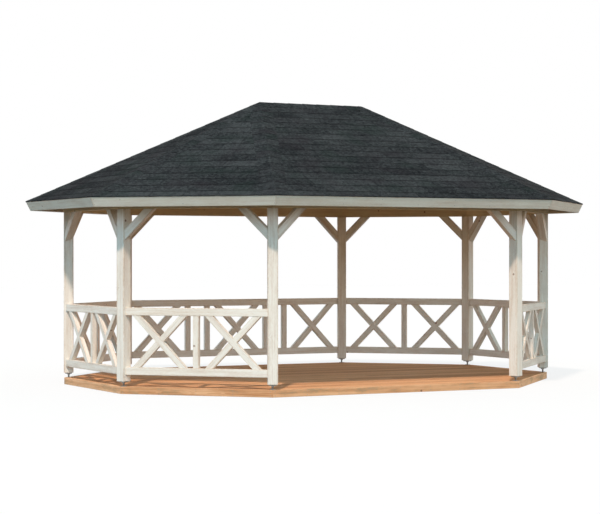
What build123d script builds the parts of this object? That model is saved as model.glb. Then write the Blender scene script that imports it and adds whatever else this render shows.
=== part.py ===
"""Garden gazebo: a stretched octagon of timber posts with lattice railings and a hipped roof.

Millimetres, +Z up, the ridge runs along X and the open entrance side faces -Y.
The origin is on the ground at the middle of the deck.  The plan is a regular octagon cut in
two halves that are drawn apart along X, so every corner turns by 45 degrees and every slope
of the roof has the same pitch.  The sides are numbered 0..7 by their outward direction,
45 degrees apart from +X, and corner k stands between side k - 1 and side k.
"""
from build123d import *
import os
from math import cos, sin, sqrt, tan, radians

# ---- plan -----------------------------------------------------------------------------
short_side = 1800.0        # between post centres, on the two ends and the four diagonals
long_side = 3250.0         # between post centres, on the front and the back
post_width = 115.0         # square posts

# ---- levels above the ground ----------------------------------------------------------
deck_height = 83.0         # top of the deck
foot_height = 60.0         # clear gap between the deck and the lower end of a post
headroom = 2034.0          # deck to the underside of the beams
handrail_height = 905.0    # deck to the top of the upper rail
kickrail_gap = 136.0       # deck to the underside of the lower rail

# ---- deck -----------------------------------------------------------------------------
deck_reach = 50.0          # outer face of the rim, outside the line of post centres
deck_board_thickness = 28.0
rim_thickness = 28.0
joist_width = 60.0
joist_count = 11
joist_margin = 160.0       # end joists, in from the deck's ends

# ---- post feet ------------------------------------------------------------------------
foot_plate_width = 80.0
foot_plate_thickness = 6.0
foot_rod_diameter = 22.0
foot_nut_width = 36.0      # across its flats
foot_nut_height = 18.0
foot_washer_diameter = 70.0
foot_washer_thickness = 5.0

# ---- railings -------------------------------------------------------------------------
rail_height = 88.0
rail_thickness = 60.0
rail_setback = 25.0        # outer face of a rail, in from the outer corners of the posts
lattice_thickness = 54.0   # studs and falling diagonals, centred in the rails
stud_width = 70.0
cross_width = 70.0         # width of a diagonal
cross_end_gap = 72.0       # between the end of a diagonal and the nearest upright, along the rail
lap_step = 1.5             # how far the rising diagonal lies back from the falling one

# ---- beams and knee braces ------------------------------------------------------------
beam_height = 208.0
beam_thickness = 90.0
beam_setback = 12.0        # outer face of a beam, in from the outer corners of the posts
brace_width = 88.0
brace_thickness = 88.0
brace_drop = 344.0         # from the beams down to the lower edge of a brace at its post
brace_angle = 45.0

# ---- roof -----------------------------------------------------------------------------
roof_pitch = 25.0
eave_reach = 482.5         # upper edge of the fascia, outside the line of post centres
rafter_depth = 98.0        # square to the slope
rafter_width = 60.0
rafter_seat = 18.0         # how deep the beam's outer edge is let into a rafter
common_rafters_per_side = 3
hip_width = 70.0
hip_extra_depth = 14.0     # upright, over the depth of a common rafter
ridge_beam_width = 60.0
ridge_beam_height = 150.0
hub_width = 180.0          # across its flats
hub_height = 230.0
roof_board_thickness = 18.0
fascia_height = 120.0
fascia_thickness = 22.0
shingle_thickness = 10.0
shingle_overhang = 8.0     # past the fascia, along the slope
cap_width = 150.0          # of a hip or ridge cap, on each slope
cap_thickness = 5.0
hip_joint = 1.0            # open joint between two slopes' boards, hidden by the caps
cheek_clearance = 0.3      # between a jack rafter and the hip it leans on

# ---- worked out from the above --------------------------------------------------------
turn = 45.0                                          # from each side to the next
half_turn = turn / 2
apothem = short_side / 2 / tan(radians(half_turn))   # centre of the octagon to a side
ridge_half = (long_side - short_side) / 2            # the ridge's ends stand over these
corner_reach = post_width / 2 * (cos(radians(half_turn)) + sin(radians(half_turn)))
deck_top = deck_height
post_bottom = deck_top + foot_height
beam_bottom = deck_top + headroom
beam_top = beam_bottom + beam_height
rail_outer = corner_reach - rail_setback
rail_inner = rail_outer - rail_thickness
beam_outer = corner_reach - beam_setback
beam_inner = beam_outer - beam_thickness
brace_outer = beam_outer - (beam_thickness - brace_thickness) / 2
brace_inner = brace_outer - brace_thickness
slope = tan(radians(roof_pitch))
plumb = 1 / cos(radians(roof_pitch))                 # upright depth of a unit square depth
rafter_plumb = rafter_depth * plumb
board_plumb = roof_board_thickness * plumb
hub_corner = hub_width / 2 / cos(radians(half_turn))
far = 2 * (long_side + short_side)                   # past everything, for trimming solids

SIDES = ["right", "back_right", "back", "back_left", "left", "front_left", "front", "front_right"]
CORNERS = ["right_front", "right_back", "back_right", "back_left",
           "left_back", "left_front", "front_left", "front_right"]
ENTRANCE = SIDES.index("front")
LONG_SIDES = (SIDES.index("back"), SIDES.index("front"))


# ---- plan geometry --------------------------------------------------------------------
def outward(side):
    """Unit vector square to a side, pointing out of the gazebo."""
    angle = radians(turn * side)
    return Vector(cos(angle), sin(angle), 0)


def sideways(side):
    """Unit vector along a side, to the right for someone who looks at it from outside."""
    angle = radians(turn * side)
    return Vector(-sin(angle), cos(angle), 0)


def side_middle(side):
    """Middle of a side, on the line of post centres at ground level."""
    direction = outward(side)
    pulled = 0.0
    if side not in LONG_SIDES:
        pulled = ridge_half if direction.X > 0 else -ridge_half
    return Vector(pulled, 0, 0) + direction * apothem


def on_side(side, along, reach, level=0.0):
    """Point at a distance along a side and a reach outside the line of post centres."""
    return side_middle(side) + sideways(side) * along + outward(side) * reach + Vector(0, 0, level)


def half_length(side, reach):
    """Half the length of a side, measured corner to corner at a reach."""
    centre_to_centre = long_side if side in LONG_SIDES else short_side
    return centre_to_centre / 2 + reach * tan(radians(half_turn))


def clear_half(side, reach):
    """Half the free length between the two posts of a side, at a reach."""
    return half_length(side, reach) - post_width / 2 / cos(radians(half_turn))


def corner(index, reach, level=0.0):
    """Corner of the plan at a reach outside the line of post centres."""
    side = index % 8
    return on_side(side, -half_length(side, reach), reach, level)


def corner_direction(index):
    """Outward direction of a corner, which halves the angle between its two sides."""
    angle = radians(turn * index - half_turn)
    return Vector(cos(angle), sin(angle), 0)


def prism(points, bottom, top):
    """Upright prism over a plan outline."""
    outline = Polyline(*[(p.X, p.Y, bottom) for p in points], close=True)
    return extrude(make_face(outline), amount=top - bottom, dir=(0, 0, 1))


def side_plane(side, reach):
    """Upright plane of a side: x to the right seen from outside, y up, z outward."""
    return Plane(origin=on_side(side, 0, reach), x_dir=sideways(side), z_dir=outward(side))


def bar_in_side(side, points, inner, outer):
    """Flat bar in the plane of a side, from (along, level) points, between two reaches."""
    outline = make_face(Polyline(*points, close=True))
    return extrude(side_plane(side, inner) * outline, amount=outer - inner, dir=outward(side))


def bay(side, inner, outer, bottom, top):
    """Block that fills the clear width between two posts, its ends cut to the posts' faces."""
    a, b = clear_half(side, inner), clear_half(side, outer)
    corners = [(-a, inner), (a, inner), (b, outer), (-b, outer)]
    return prism([on_side(side, along, reach) for along, reach in corners], bottom, top)


def side_strip(side, inner, outer, bottom, top, joint=0.0):
    """Straight board along a side, mitred on the corners, with an open joint there."""
    cut = joint / 2 / cos(radians(half_turn))
    a, b = half_length(side, inner) - cut, half_length(side, outer) - cut
    corners = [(-a, inner), (a, inner), (b, outer), (-b, outer)]
    return prism([on_side(side, along, reach) for along, reach in corners], bottom, top)


# ---- roof geometry --------------------------------------------------------------------
def roof_level(reach):
    """Level of the roof boards' upper face at a reach: the rafters sit on the beams."""
    at_beam = beam_top - rafter_seat + rafter_plumb + board_plumb
    return at_beam + (beam_outer - reach) * slope


def slope_plane(side):
    """Plane of a slope's boards: x along the eave, y up the slope, z square to it."""
    lean = radians(roof_pitch)
    normal = outward(side) * sin(lean) + Vector(0, 0, cos(lean))
    origin = on_side(side, 0, eave_reach, roof_level(eave_reach))
    return Plane(origin=origin, x_dir=sideways(side), z_dir=normal)


def wedge(side, inset):
    """Plan outline of one slope, from the ridge to far outside, inset from its hips."""
    reach = eave_reach + short_side
    out = half_length(side, reach) - inset / cos(radians(half_turn))
    points = [on_side(side, -out, reach), on_side(side, out, reach)]
    if side in LONG_SIDES:
        ridge_corner = 2 * turn + half_turn          # between the ridge and a hip, in plan
        along = ridge_half - inset / tan(radians(ridge_corner / 2))
        points += [on_side(side, along, inset - apothem), on_side(side, -along, inset - apothem)]
    else:
        points += [on_side(side, 0, inset / sin(radians(half_turn)) - apothem)]
    return prism(points, 0, far)


def slope_layer(side, low, high, start, end=far, inset=hip_joint / 2):
    """Layer of one slope between two heights square to it, from start to end up the slope."""
    block = Pos(0, (start + end) / 2, (low + high) / 2) * Box(far, end - start, high - low)
    return (slope_plane(side) * block) & wedge(side, inset)


# ---- deck -----------------------------------------------------------------------------
def make_deck_boards():
    reach = deck_reach - rim_thickness
    outline = [corner(k, reach) for k in range(8)]
    return prism(outline, deck_top - deck_board_thickness, deck_top)


def make_deck_rim():
    joint = 1.0
    return [side_strip(k, deck_reach - rim_thickness, deck_reach, 0, deck_top, joint)
            for k in range(8)]


def make_deck_joists():
    """Joists across the deck, cut to the inside of the rim."""
    reach = deck_reach - rim_thickness
    height = deck_top - deck_board_thickness
    inside = prism([corner(k, reach) for k in range(8)], 0, height)
    end = ridge_half + apothem + reach - joist_margin
    spacing = 2 * end / (joist_count - 1)
    joists = []
    for i in range(joist_count):
        plank = Pos(-end + i * spacing, 0, height / 2) * Box(joist_width, far, height)
        joists.append(plank & inside)
    return joists


# ---- posts and feet -------------------------------------------------------------------
def corner_frame(index, level):
    """Level plane at a corner, its x axis along the corner's outward direction."""
    return Plane(origin=corner(index, 0, level), x_dir=corner_direction(index), z_dir=(0, 0, 1))


def make_post(index):
    length = beam_bottom - post_bottom
    block = Pos(0, 0, length / 2) * Box(post_width, post_width, length)
    return corner_frame(index, post_bottom) * block


def make_foot(index):
    """Washer on the deck, threaded rod, nut and the plate that is screwed under the post."""
    plate_bottom = foot_height - foot_plate_thickness
    nut_bottom = plate_bottom - foot_nut_height
    washer = extrude(Circle(foot_washer_diameter / 2), amount=foot_washer_thickness)
    rod = extrude(Circle(foot_rod_diameter / 2), amount=plate_bottom)
    nut_outline = RegularPolygon(foot_nut_width / 2, 6, major_radius=False)
    nut = Pos(0, 0, nut_bottom) * extrude(nut_outline, amount=foot_nut_height)
    plate_outline = Rectangle(foot_plate_width, foot_plate_width)
    plate = Pos(0, 0, plate_bottom) * extrude(plate_outline, amount=foot_plate_thickness)
    return corner_frame(index, deck_top) * (washer + rod + nut + plate)


# ---- railings -------------------------------------------------------------------------
def cross_bar(left, right, bottom, top):
    """Corners of a diagonal that rises from left to right and has the width of a cross bar.

    The bar is cut level at both ends, and the length of that cut follows from its slope.
    """
    run, rise, width = right - left, top - bottom, cross_width
    root = rise * sqrt(rise ** 2 + run ** 2 - width ** 2)
    cut = width * (root - width * run) / (rise ** 2 - width ** 2)
    return [(left, bottom), (left + cut, bottom), (right, top), (right - cut, top)]


def bay_centres(side):
    """Studs and crosses of a railing: distances along the side, and a cross's half width.

    A short side has two crosses with one stud between them.  A long side has three crosses
    of the same width, parted by pairs of studs.
    """
    middle_reach = (rail_inner + rail_outer) / 2
    cross_bay = clear_half(SIDES.index("left"), middle_reach) - stud_width / 2
    half_cross = cross_bay / 2
    if side not in LONG_SIDES:
        shift = stud_width / 2 + half_cross
        return [0.0], [-shift, shift], half_cross - cross_end_gap
    inner_stud = half_cross + stud_width / 2
    end_cross = clear_half(side, middle_reach) - half_cross
    outer_stud = end_cross - half_cross - stud_width / 2
    studs = [-outer_stud, -inner_stud, inner_stud, outer_stud]
    return studs, [-end_cross, 0.0, end_cross], half_cross - cross_end_gap


def make_railing(side):
    """Two rails with studs and crossed diagonals between them, as one framed panel."""
    low_bottom = deck_top + kickrail_gap
    low_top = low_bottom + rail_height
    high_top = deck_top + handrail_height
    high_bottom = high_top - rail_height
    inset = (rail_thickness - lattice_thickness) / 2
    inner, outer = rail_inner + inset, rail_outer - inset
    panel = bay(side, rail_inner, rail_outer, low_bottom, low_top)
    panel += bay(side, rail_inner, rail_outer, high_bottom, high_top)
    studs, crosses, half_cross = bay_centres(side)
    for centre in studs:
        half = stud_width / 2
        outline = [(centre - half, low_top), (centre + half, low_top),
                   (centre + half, high_bottom), (centre - half, high_bottom)]
        panel += bar_in_side(side, outline, inner, outer)
    for centre in crosses:
        rising = cross_bar(-half_cross, half_cross, low_top, high_bottom)
        right_up = [(centre + along, level) for along, level in rising]
        left_up = [(centre - along, level) for along, level in rising]
        panel += bar_in_side(side, right_up, inner + lap_step, outer - lap_step)
        panel += bar_in_side(side, left_up, inner, outer)
    return panel


# ---- beams and braces -----------------------------------------------------------------
def make_beam(side):
    return side_strip(side, beam_inner, beam_outer, beam_bottom, beam_top)


def make_brace(side, hand):
    """Knee brace from a post up to the beam; hand is -1 at the left post, +1 at the right."""
    rise = tan(radians(brace_angle))
    thick = brace_width / cos(radians(brace_angle))     # upright thickness of the brace
    foot = beam_bottom - brace_drop
    start = clear_half(side, brace_outer)
    low_run = brace_drop / rise
    high_run = (brace_drop - thick) / rise
    inside = start + post_width / 2                      # within the post, trimmed off below
    outline = [(inside, foot - (inside - start) * rise),
               (start - low_run, beam_bottom),
               (start - high_run, beam_bottom),
               (inside, foot + thick - (inside - start) * rise)]
    bar = bar_in_side(side, [(hand * along, level) for along, level in outline],
                      brace_inner, brace_outer)
    return bar & bay(side, brace_inner, brace_outer, post_bottom, beam_bottom)


# ---- roof framing ---------------------------------------------------------------------
def rafter_outline(top_reach):
    """Side view of a rafter as (reach, level): seat on the beam, square tail, plumb top."""
    def underside(reach):
        return roof_level(reach) - board_plumb - rafter_plumb

    def upper(reach):
        return roof_level(reach) - board_plumb

    lean = radians(roof_pitch)
    tail = eave_reach - fascia_thickness * cos(lean)
    top_tail = tail - roof_board_thickness * sin(lean)
    low_tail = top_tail - rafter_depth * sin(lean)
    seat_end = beam_outer - rafter_seat / slope
    return [(top_reach, underside(top_reach)), (top_reach, upper(top_reach)),
            (top_tail, upper(top_tail)), (low_tail, underside(low_tail)),
            (beam_outer, underside(beam_outer)), (beam_outer, beam_top), (seat_end, beam_top)]


def rafter_bar(side, along, top_reach):
    """Rafter square to a side, at a distance along it."""
    points = [(reach, level) for reach, level in rafter_outline(top_reach)]
    origin = on_side(side, along - rafter_width / 2, 0)
    upright = Plane(origin=origin, x_dir=outward(side), z_dir=-sideways(side))
    outline = upright * make_face(Polyline(*points, close=True))
    return extrude(outline, amount=rafter_width, dir=sideways(side))


def common_spacing():
    return 2 * ridge_half / common_rafters_per_side


def make_common_rafters():
    """Rafters that reach the ridge beam, on the two long slopes."""
    first = -ridge_half + common_spacing() / 2
    rafters = []
    for side in LONG_SIDES:
        for i in range(common_rafters_per_side):
            along = first + i * common_spacing()
            rafters.append(rafter_bar(side, along, ridge_beam_width / 2 - apothem))
    return rafters


def make_jack_rafters():
    """Rafters that die against the hips, with their ends cut to the hips' sides."""
    inset = hip_width / 2 + cheek_clearance
    jacks = []
    for side in range(8):
        if side in LONG_SIDES:
            reach_out = ridge_half + common_spacing() / 2
            places = [-reach_out, reach_out]
        else:
            places = [0.0]
        for along in places:
            top_reach = hub_corner + cheek_clearance - apothem
            jacks.append(rafter_bar(side, along, top_reach) & wedge(side, inset))
    return jacks


def hub_centre(hand):
    return Vector(hand * ridge_half, 0, 0)


def make_hub(hand):
    """Eight-sided block at a ridge end; each hip meets one of its faces squarely."""
    top = roof_level(hub_corner - apothem) - board_plumb
    outline = RegularPolygon(hub_width / 2, 8, major_radius=False)
    block = extrude(outline, amount=-hub_height)
    lower_edges = block.edges().group_by(Axis.Z)[0]
    block = chamfer(lower_edges, hub_width / 8)
    return Pos(hub_centre(hand).X, 0, top) * block


def make_ridge_beam():
    top = roof_level(ridge_beam_width / 2 - apothem) - board_plumb
    length = 2 * ridge_half
    block = Box(length, ridge_beam_width, ridge_beam_height)
    beam = Pos(0, 0, top - ridge_beam_height / 2) * block
    return beam - make_hub(-1) - make_hub(1)


def below_slope(side):
    """Everything under a slope's boards and behind its fascia."""
    block = Box(far, far, far)
    shifted = Pos(0, fascia_thickness + far / 2, -roof_board_thickness - far / 2) * block
    return slope_plane(side) * shifted


def make_hip(index):
    """Hip rafter: its back is bevelled to both slopes and its tail to both fascias."""
    direction = corner_direction(index)
    centre = hub_centre(1 if direction.X > 0 else -1)
    start = hub_width / 2
    per_length = slope * cos(radians(half_turn))
    crown = roof_level(-apothem) - board_plumb
    depth = rafter_plumb + hip_extra_depth
    end = (apothem + eave_reach) / cos(radians(half_turn))
    points = [(start, crown - depth - start * per_length), (end, crown - depth - end * per_length),
              (end, crown), (start, crown)]
    across = direction.cross(Vector(0, 0, 1))
    upright = Plane(origin=centre - across * (hip_width / 2), x_dir=direction, z_dir=across)
    bar = extrude(upright * make_face(Polyline(*points, close=True)), amount=hip_width, dir=across)
    bar = bar & below_slope((index - 1) % 8) & below_slope(index % 8)
    return bar - make_beam((index - 1) % 8) - make_beam(index % 8)


# ---- roof skin ------------------------------------------------------------------------
def make_roof_boards():
    return [slope_layer(k, -roof_board_thickness, 0, fascia_thickness) for k in range(8)]


def make_fascia():
    return [slope_layer(k, -fascia_height, 0, 0, fascia_thickness) for k in range(8)]


def make_shingles(side):
    return slope_layer(side, 0, shingle_thickness, -shingle_overhang)


def make_caps():
    """Caps over the hips and the ridge: one thin strip on each side of every break."""
    caps = None
    for side in range(8):
        low = shingle_thickness
        strip = slope_layer(side, low, low + cap_thickness, -shingle_overhang, inset=0)
        strip -= wedge(side, cap_width)
        caps = strip if caps is None else caps + strip
    return caps


# ---- write the pieces -----------------------------------------------------------------
def write(name, solids):
    """Write one node as a STEP file; several solids go in as one compound."""
    pieces = solids if isinstance(solids, list) else [solids]
    found = [solid for piece in pieces for solid in piece.solids()]
    shape = found[0] if len(found) == 1 else Compound(children=found)
    shape.label = name
    export_step(shape, f"parts/{name}.step")


def main():
    os.makedirs("parts", exist_ok=True)
    write("deck_boards", make_deck_boards())
    write("deck_rim", make_deck_rim())
    write("deck_joists", make_deck_joists())
    write("post_feet", [make_foot(k) for k in range(8)])
    write("knee_braces", [make_brace(side, hand) for side in range(8) for hand in (-1, 1)])
    for k in range(8):
        write(f"post_{CORNERS[k]}", make_post(k))
        write(f"beam_{SIDES[k]}", make_beam(k))
        write(f"shingles_{SIDES[k]}", make_shingles(k))
        if k != ENTRANCE:
            write(f"railing_{SIDES[k]}", make_railing(k))
    left = [k for k in range(8) if corner_direction(k).X < 0]
    right = [k for k in range(8) if corner_direction(k).X > 0]
    write("hip_rafters_left", [make_hip(k) for k in left])
    write("hip_rafters_right", [make_hip(k) for k in right])
    write("ridge_hubs", [make_hub(-1), make_hub(1)])
    write("ridge_beam", make_ridge_beam())
    write("common_rafters", make_common_rafters())
    write("jack_rafters", make_jack_rafters())
    write("roof_boards", make_roof_boards())
    write("fascia_boards", make_fascia())
    write("ridge_and_hip_caps", make_caps())


main()
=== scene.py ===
# %% [markdown]
# # Dressing a garden gazebo
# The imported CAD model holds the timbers' true places and sizes.  This lesson makes each of them
# again as a board with softened edges, its own grain and its own finish, and adds shingles,
# screws, threads and the light.  Everything is in metres and in the frame's own axes, so nothing
# is moved once it is made.

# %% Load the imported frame
from collections import namedtuple

import bpy
import numpy as np
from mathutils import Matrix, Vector


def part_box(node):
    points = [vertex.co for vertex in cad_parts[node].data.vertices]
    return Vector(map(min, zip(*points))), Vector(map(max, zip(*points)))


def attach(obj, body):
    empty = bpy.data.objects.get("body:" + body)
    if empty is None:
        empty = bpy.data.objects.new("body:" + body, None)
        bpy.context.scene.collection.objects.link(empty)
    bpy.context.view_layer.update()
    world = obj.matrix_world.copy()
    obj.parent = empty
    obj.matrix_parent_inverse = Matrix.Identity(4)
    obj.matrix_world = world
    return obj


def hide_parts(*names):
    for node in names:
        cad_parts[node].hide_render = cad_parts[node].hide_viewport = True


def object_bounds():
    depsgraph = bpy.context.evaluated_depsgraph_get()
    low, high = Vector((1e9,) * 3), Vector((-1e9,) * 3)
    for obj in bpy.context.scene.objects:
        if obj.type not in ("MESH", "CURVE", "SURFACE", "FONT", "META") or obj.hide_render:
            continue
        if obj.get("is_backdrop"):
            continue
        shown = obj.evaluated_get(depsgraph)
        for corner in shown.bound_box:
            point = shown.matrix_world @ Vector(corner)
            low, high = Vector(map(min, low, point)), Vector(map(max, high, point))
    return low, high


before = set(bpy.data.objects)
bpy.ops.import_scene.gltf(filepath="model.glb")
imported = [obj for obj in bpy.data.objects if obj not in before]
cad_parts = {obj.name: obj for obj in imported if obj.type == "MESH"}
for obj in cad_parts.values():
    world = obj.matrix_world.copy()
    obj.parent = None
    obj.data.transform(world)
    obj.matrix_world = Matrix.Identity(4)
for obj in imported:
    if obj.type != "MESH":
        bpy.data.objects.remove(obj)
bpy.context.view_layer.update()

# %% [markdown]
# ## The plan
# The gazebo stands on a regular octagon that is drawn apart along X.  A place on any side is three
# numbers: how far along the side, how far outside the line of the posts' centres (its reach), and
# how high.  So each timber is described once and made eight times.

# %% Sides, corners and the line of the posts
SIDES = ["right", "back_right", "back", "back_left", "left", "front_left", "front", "front_right"]
CORNERS = ["right_front", "right_back", "back_right", "back_left",
           "left_back", "left_front", "front_left", "front_right"]
RIGHT, BACK_RIGHT, BACK, BACK_LEFT, LEFT, FRONT_LEFT, FRONT, FRONT_RIGHT = range(8)
LONG_SIDES = BACK, FRONT
X, Y, UP = np.eye(3)
TURN = np.pi / 4
HALF_TURN = TURN / 2


def box(node):
    """Lowest and highest corner of a CAD node, as two arrays."""
    low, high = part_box(node)
    return np.array(low), np.array(high)


def compass(angle):
    """Level unit vector at an angle from +X."""
    return np.cos(angle) * X + np.sin(angle) * Y


post_boxes = np.array([box("post_" + corner) for corner in CORNERS])
post_at = post_boxes.mean(1) * (1, 1, 0)
post_width = np.ptp(post_boxes[0], axis=0)[0] / (np.cos(HALF_TURN) + np.sin(HALF_TURN))
post_bottom, post_top = post_boxes[0][:, 2]
outward = np.array([compass(TURN * k) for k in range(8)])
sideways = np.array([compass(TURN * k + np.pi / 2) for k in range(8)])
side_middle = (post_at + np.roll(post_at, -1, 0)) / 2
side_span = np.linalg.norm(np.roll(post_at, -1, 0) - post_at, axis=1)
apothem = side_middle[FRONT] @ outward[FRONT]
ridge_half = (side_span[FRONT] - side_span[RIGHT]) / 2
print(f"posts {post_width:.3f} square, sides {side_span[RIGHT]:.3f} and {side_span[FRONT]:.3f}")


def spot(side, along, reach, level):
    """Point = middle of the side + along x sideways + reach x outward + level x up."""
    along, reach, level = (np.asarray(v, float)[..., None] for v in (along, reach, level))
    return side_middle[side] + along * sideways[side] + reach * outward[side] + level * UP


def half_length(side, reach):
    """Half of a side, corner to corner: half its span + reach x tan(half a turn)."""
    return side_span[side] / 2 + reach * np.tan(HALF_TURN)


# %% [markdown]
# ## Cutting a timber to a plane
# A timber is a section carried along a straight line and sawn off by a plane at each end.  A plane
# is a point and a direction that points out of the timber.  Most are upright planes on a corner's
# bisector: with no setback the cut is a mitre, and with half a post's width it is the face of the
# post that a rail runs into.

# %% The planes that saw off the ends
Cut = namedtuple("Cut", "point normal")


def corner_cut(side, hand, setback):
    """Upright plane at a side's end, hand -1 or +1, set back from the corner's bisector."""
    normal = hand * compass(TURN * side + hand * HALF_TURN + np.pi / 2)
    corner = post_at[(side + (hand > 0)) % 8]
    return Cut(corner - normal * setback, normal)


def corner_cuts(side, setback):
    """The planes at both ends of a side."""
    return corner_cut(side, -1, setback), corner_cut(side, 1, setback)


# %% [markdown]
# ## One timber
# Planed timber has rounded arrises, so each corner of the section becomes a small arc, with one
# more point a little way along each face.  Between them a value for wear fades from 1 to 0,
# which the wood finish uses to rub the edges; on the shingles the same value carries painted
# shade and a painted highlight.  A saw leaves the ends almost sharp: a smaller outline on the
# end's plane rounds them by a hair.
#
# Every vertex also keeps its grain: the distance along the timber, and its place in the log that
# it was sawn from.  A pattern in the log's own space gives long lines on a face and arcs on an
# end, as growth rings do.  The place in the log is random, so no two timbers match.

# %% The section, with rounded corners
Part = namedtuple("Part", "points faces grain wear tone")
chance = np.random.default_rng(11)
ARRIS, SAWN_ARRIS, SHOULDER = 0.004, 0.0012, 0.012
ARC = 0.29                       # how far the middle of an arris's arc lies from its corner
ROOM = 0.4                       # the part of the shortest edge that one corner may take up
PITH_AWAY, LOG_LENGTH = (0.03, 0.11), 40            # where a timber may lie in its log


def board(width, depth):
    """Rectangle about its centre, as an outline that runs anticlockwise."""
    w, d = width / 2, depth / 2
    return np.array([(-w, -d), (w, -d), (w, d), (-w, d)])


def ease(outline, arris):
    """Each corner p between directions a (in) and b (out) becomes five points.

    They are p - shoulder a, p - arris a, p + ARC arris (b - a), p + arris b, p + shoulder b,
    which have wear 0, 1, 1, 1 and 0.
    """
    ahead = np.roll(outline, -1, 0) - outline
    length = np.linalg.norm(ahead, axis=1, keepdims=True)
    b = ahead / length
    a = np.roll(b, 1, 0)
    room = length.min() * ROOM
    arris, shoulder = min(arris, room / 2), min(SHOULDER, room)
    rows = [outline - shoulder * a, outline - arris * a, outline + ARC * arris * (b - a),
            outline + arris * b, outline + shoulder * b]
    return np.stack(rows, 1).reshape(-1, 2), np.tile([0.0, 1, 1, 1, 0], len(outline))


# %% The timber itself
def unit(vector):
    """Vector / its length."""
    return vector / np.linalg.norm(vector)


def rings_to_faces(rings, count):
    """Quads between rings of the same number of points, and one cap at each end."""
    i = np.arange(count)
    j = (i + 1) % count
    start = np.arange(rings - 1)[:, None] * count
    quads = np.stack([start + i, start + j, start + count + j, start + count + i], -1)
    caps = np.stack([i[::-1], i + (rings - 1) * count])
    return [quads.reshape(-1, 4), caps]


def timber(origin, along, up, outline, cuts, arris=ARRIS):
    """A section carried along a line and sawn by a plane at each end.

    A point (x, y) of the outline travels on q + s along, where q = origin + x across + y up.  A
    plane with point p and normal n stops it at s = (p - q) n / (along n).  Each end has three
    rings: a smaller outline on the plane, and the full one a hair and a shoulder behind it.
    """
    along, up = unit(along), unit(up)
    directions = np.array([np.cross(up, along), up])
    section, worn = ease(outline, arris)
    hair = min(arris, SAWN_ARRIS)
    centre = section.mean(0)
    small = centre + (section - centre) * (1 - 2 * hair / np.ptp(section, axis=0).min())
    pith_turn, pith_away = chance.uniform(0, 2 * np.pi), chance.uniform(*PITH_AWAY)
    log_start, tone = chance.uniform(0, LOG_LENGTH), chance.uniform(0, 1)
    pith = pith_away * compass(pith_turn)[:2]

    start, end = cuts
    points, grain, wear = [], [], []
    for shape, cut, inset, rubbed in (
            (small, start, 0, 1), (section, start, hair, 1), (section, start, SHOULDER, 0),
            (section, end, -SHOULDER, 0), (section, end, -hair, 1), (small, end, 0, 1)):
        q = origin + shape @ directions
        s = ((cut.point - q) @ cut.normal) / (along @ cut.normal) + inset
        points.append(q + s[:, None] * along)
        grain.append(np.column_stack([s + log_start, shape + pith]))
        wear.append(np.maximum(worn, rubbed))
    points = np.vstack(points)
    return Part(points, rings_to_faces(len(wear), len(section)), np.vstack(grain),
                np.concatenate(wear), np.full(len(points), tone))


# %% [markdown]
# ## From parts to a piece
# Timbers that belong together, such as the sticks of a railing, become one Blender object: their
# arrays are put end to end.  It rides on the frame's one body and stands for the CAD nodes that
# it replaces.

# %% Build one piece from its parts
def piece(name, parts, finish, *replaces):
    """Joins parts into one mesh object whose place is in its vertices."""
    material, slot = finish
    starts = np.cumsum([0] + [len(part.points) for part in parts])
    faces = [row for part, start in zip(parts, starts)
             for block in part.faces for row in (block + start).tolist()]
    mesh = bpy.data.meshes.new(name)
    mesh.from_pydata(np.vstack([part.points for part in parts]).tolist(), [], faces)
    for label, kind, key in (("grain", "FLOAT_VECTOR", "vector"), ("wear", "FLOAT", "value"),
                             ("tone", "FLOAT", "value")):
        rows = np.concatenate([getattr(part, label) for part in parts])
        layer = mesh.attributes.new(label, kind, "POINT")
        layer.data.foreach_set(key, rows.astype(np.float32).ravel())
    mesh.materials.append(material)
    mesh.validate()
    made_object = bpy.data.objects.new(name, mesh)
    bpy.context.scene.collection.objects.link(made_object)
    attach(made_object, "root")
    if replaces:
        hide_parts(*replaces)
    print(f"{name}: {len(parts)} parts, {len(faces)} faces")


# %% [markdown]
# ## A small language for shaders
# A shader is a tree of nodes.  Wiring it by hand hides the sums, so one small class wraps a
# socket and lets numbers that vary over a surface be added and multiplied as Python writes them.
# Colours and directions go through Mix and Vector Math, because a Math node would turn a colour
# grey.  Every other node comes from one method, which sets the node's own choices first and its
# sockets after that.

# %% Sockets as numbers
def linear(red, green, blue):
    """Colour as a paint chart gives it, 0 to 255, turned into the light it sends back."""
    value = np.array([red, green, blue]) / 255
    light = np.where(value <= 0.04045, value / 12.92, ((value + 0.055) / 1.055) ** 2.4)
    return (*light.tolist(), 1.0)


class Amount:
    """What varies over the surface: one socket of one shader."""

    def __init__(self, shader, socket):
        self.shader, self.socket = shader, socket

    def __add__(self, other):
        return self.shader.math("ADD", self, other)

    def __mul__(self, other):
        return self.shader.math("MULTIPLY", self, other)

    def __sub__(self, other):
        return self.shader.math("SUBTRACT", self, other)

    def __rsub__(self, other):
        return self.shader.math("SUBTRACT", other, self)

    __radd__, __rmul__ = __add__, __mul__


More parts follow.
